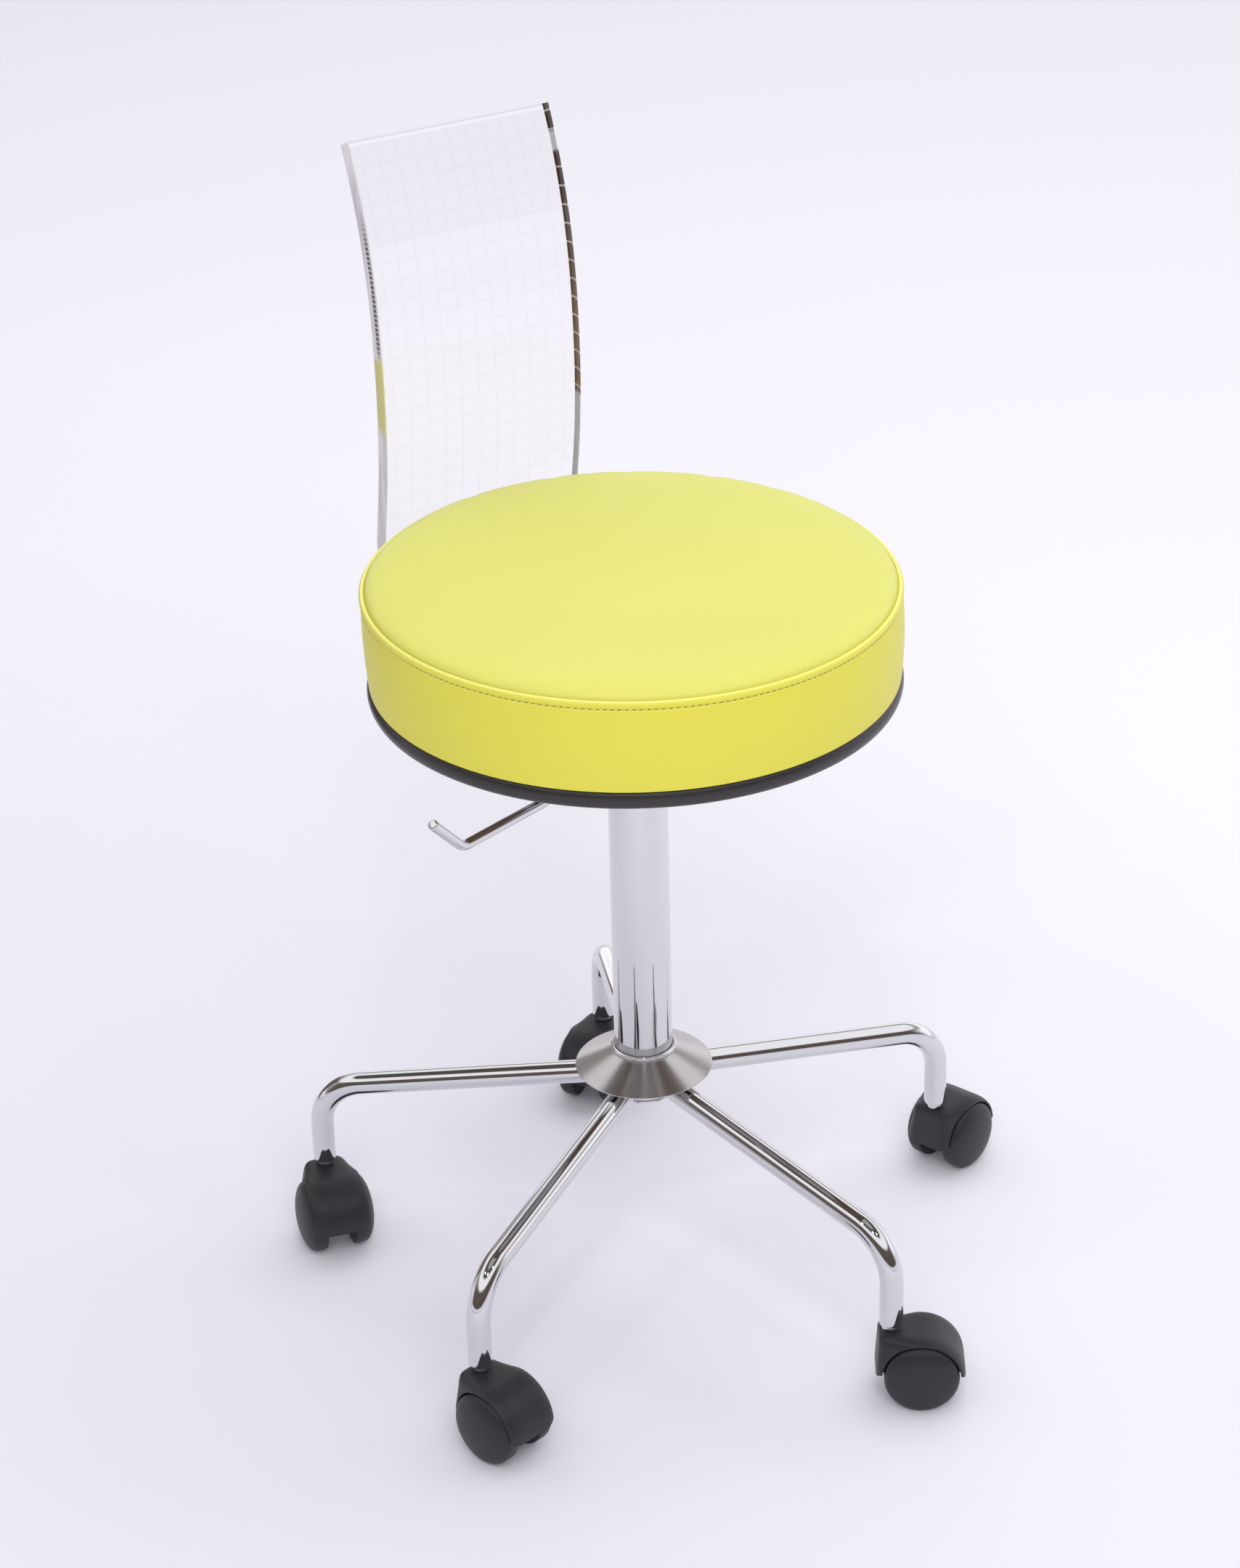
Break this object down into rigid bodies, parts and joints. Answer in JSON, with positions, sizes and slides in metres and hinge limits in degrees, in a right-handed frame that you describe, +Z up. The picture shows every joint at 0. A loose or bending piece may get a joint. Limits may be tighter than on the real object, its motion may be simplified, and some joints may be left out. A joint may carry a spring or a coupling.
{
  "type": "dental stool",
  "caption": "Round padded stool on twin-wheel casters: gas-lift column with release lever, bent tube star base and a clear curved lumbar sheet.",
  "frame": {"origin": "centre of the hub's underside, on the column's axis", "axes": "+Z up along the column, -Y the way the sitter faces, -X the sitter's right"},
  "size_m": [0.5021, 0.5092, 0.765],
  "materials": {
    "chrome": "bright chrome plate",
    "satin_chrome": "satin chrome pressing",
    "steel": "plain zinc-plated steel",
    "black_plastic": "fine matte moulded nylon",
    "black_trim": "semi-gloss edge strip",
    "lime_vinyl": "soft-sheen upholstery vinyl with fine grain",
    "plywood": "bare plywood",
    "clear_sheet": "polished clear acrylic sheet with a fine square grid"
  },
  "bodies": {
    "base": {"hub_cap": "chrome", "hub_sleeve": "chrome", "hub_cover": "satin_chrome", "column_tube": "chrome", "guide_bush": "black_plastic", "thrust_bearing": "steel", "leg_1": "chrome", "leg_2": "chrome", "leg_3": "chrome", "leg_4": "chrome", "leg_5": "chrome"},
    "piston": {"piston_rod": "steel", "rod_clip": "steel"},
    "seat": {"gas_cylinder": "chrome", "cylinder_gland": "steel", "taper_socket": "steel", "lever_housing": "steel", "lever_pin": "steel", "seat_plate": "steel", "seat_screw_1": "steel", "seat_screw_2": "steel", "seat_screw_3": "steel", "seat_screw_4": "steel", "seat_board": "plywood", "edge_trim": "black_trim", "seat_cushion": "lime_vinyl", "backrest": "clear_sheet", "backrest_clamp": "steel", "backrest_screw_1": "steel", "backrest_screw_2": "steel", "backrest_screw_3": "steel", "backrest_screw_4": "steel"},
    "lever": {"lever": "chrome"},
    "release_button": {"release_button": "steel"},
    "caster_1": {"caster_stem_1": "chrome", "caster_hood_1": "black_plastic", "caster_axle_1": "steel"},
    "wheel_left_1": {"wheel_left_1": "black_plastic"},
    "wheel_right_1": {"wheel_right_1": "black_plastic"},
    "caster_2": {"caster_stem_2": "chrome", "caster_hood_2": "black_plastic", "caster_axle_2": "steel"},
    "wheel_left_2": {"wheel_left_2": "black_plastic"},
    "wheel_right_2": {"wheel_right_2": "black_plastic"},
    "caster_3": {"caster_stem_3": "chrome", "caster_hood_3": "black_plastic", "caster_axle_3": "steel"},
    "wheel_left_3": {"wheel_left_3": "black_plastic"},
    "wheel_right_3": {"wheel_right_3": "black_plastic"},
    "caster_4": {"caster_stem_4": "chrome", "caster_hood_4": "black_plastic", "caster_axle_4": "steel"},
    "wheel_left_4": {"wheel_left_4": "black_plastic"},
    "wheel_right_4": {"wheel_right_4": "black_plastic"},
    "caster_5": {"caster_stem_5": "chrome", "caster_hood_5": "black_plastic", "caster_axle_5": "steel"},
    "wheel_left_5": {"wheel_left_5": "black_plastic"},
    "wheel_right_5": {"wheel_right_5": "black_plastic"}
  },
  "joints": [
    {"name": "seat_swivel", "type": "hinge", "parent": "base", "child": "piston", "pos_m": [0, 0, 0], "axis": [0, 0, 1], "continuous": true},
    {"name": "seat_height", "type": "slide", "parent": "piston", "child": "seat", "axis": [0, 0, 1], "range_m": [0, 0.13]},
    {"name": "lever_pull", "type": "hinge", "parent": "seat", "child": "lever", "pos_m": [-0.0284, -0.00967, 0.2994], "axis": [-0.3223, 0.9466, 0], "range_deg": [0, 5], "stiffness_Nm_per_rad": 6},
    {"name": "button_press", "type": "slide", "parent": "seat", "child": "release_button", "axis": [0, 0, -1], "range_m": [0, 0.003]},
    {"name": "caster_swivel_1", "type": "hinge", "parent": "base", "child": "caster_1", "pos_m": [-0.17733, 0.14959, 0], "axis": [0, 0, 1], "continuous": true},
    {"name": "wheel_spin_left_1", "type": "hinge", "parent": "caster_1", "child": "wheel_left_1", "pos_m": [-0.18149, 0.13003, -0.11381], "axis": [0.9781, -0.2079, 0], "continuous": true},
    {"name": "wheel_spin_right_1", "type": "hinge", "parent": "caster_1", "child": "wheel_right_1", "pos_m": [-0.18149, 0.13003, -0.11381], "axis": [0.9781, -0.2079, 0], "continuous": true},
    {"name": "caster_swivel_2", "type": "hinge", "parent": "base", "child": "caster_2", "pos_m": [-0.19707, -0.12243, 0], "axis": [0, 0, 1], "continuous": true},
    {"name": "wheel_spin_left_2", "type": "hinge", "parent": "caster_2", "child": "wheel_left_2", "pos_m": [-0.19156, -0.14165, -0.11381], "axis": [0.9613, 0.2756, 0], "continuous": true},
    {"name": "wheel_spin_right_2", "type": "hinge", "parent": "caster_2", "child": "wheel_right_2", "pos_m": [-0.19156, -0.14165, -0.11381], "axis": [0.9613, 0.2756, 0], "continuous": true},
    {"name": "caster_swivel_3", "type": "hinge", "parent": "base", "child": "caster_3", "pos_m": [0.05554, -0.22526, 0], "axis": [0, 0, 1], "continuous": true},
    {"name": "wheel_spin_left_3", "type": "hinge", "parent": "caster_3", "child": "wheel_left_3", "pos_m": [0.07268, -0.23556, -0.11381], "axis": [0.515, 0.8572, 0], "continuous": true},
    {"name": "wheel_spin_right_3", "type": "hinge", "parent": "caster_3", "child": "wheel_right_3", "pos_m": [0.07268, -0.23556, -0.11381], "axis": [0.515, 0.8572, 0], "continuous": true},
    {"name": "caster_swivel_4", "type": "hinge", "parent": "base", "child": "caster_4", "pos_m": [0.23139, -0.01679, 0], "axis": [0, 0, 1], "continuous": true},
    {"name": "wheel_spin_left_4", "type": "hinge", "parent": "caster_4", "child": "wheel_left_4", "pos_m": [0.25006, -0.00962, -0.11381], "axis": [-0.3584, 0.9336, 0], "continuous": true},
    {"name": "wheel_spin_right_4", "type": "hinge", "parent": "caster_4", "child": "wheel_right_4", "pos_m": [0.25006, -0.00962, -0.11381], "axis": [-0.3584, 0.9336, 0], "continuous": true},
    {"name": "caster_swivel_5", "type": "hinge", "parent": "base", "child": "caster_5", "pos_m": [0.08747, 0.21488, 0], "axis": [0, 0, 1], "continuous": true},
    {"name": "wheel_spin_left_5", "type": "hinge", "parent": "caster_5", "child": "wheel_left_5", "pos_m": [0.07238, 0.20176, -0.11381], "axis": [0.6561, -0.7547, 0], "continuous": true},
    {"name": "wheel_spin_right_5", "type": "hinge", "parent": "caster_5", "child": "wheel_right_5", "pos_m": [0.07238, 0.20176, -0.11381], "axis": [0.6561, -0.7547, 0], "continuous": true}
  ],
  "couplings": [
    {"joint": "button_press", "follows": "lever_pull", "m_per_rad": 0.034}
  ]
}
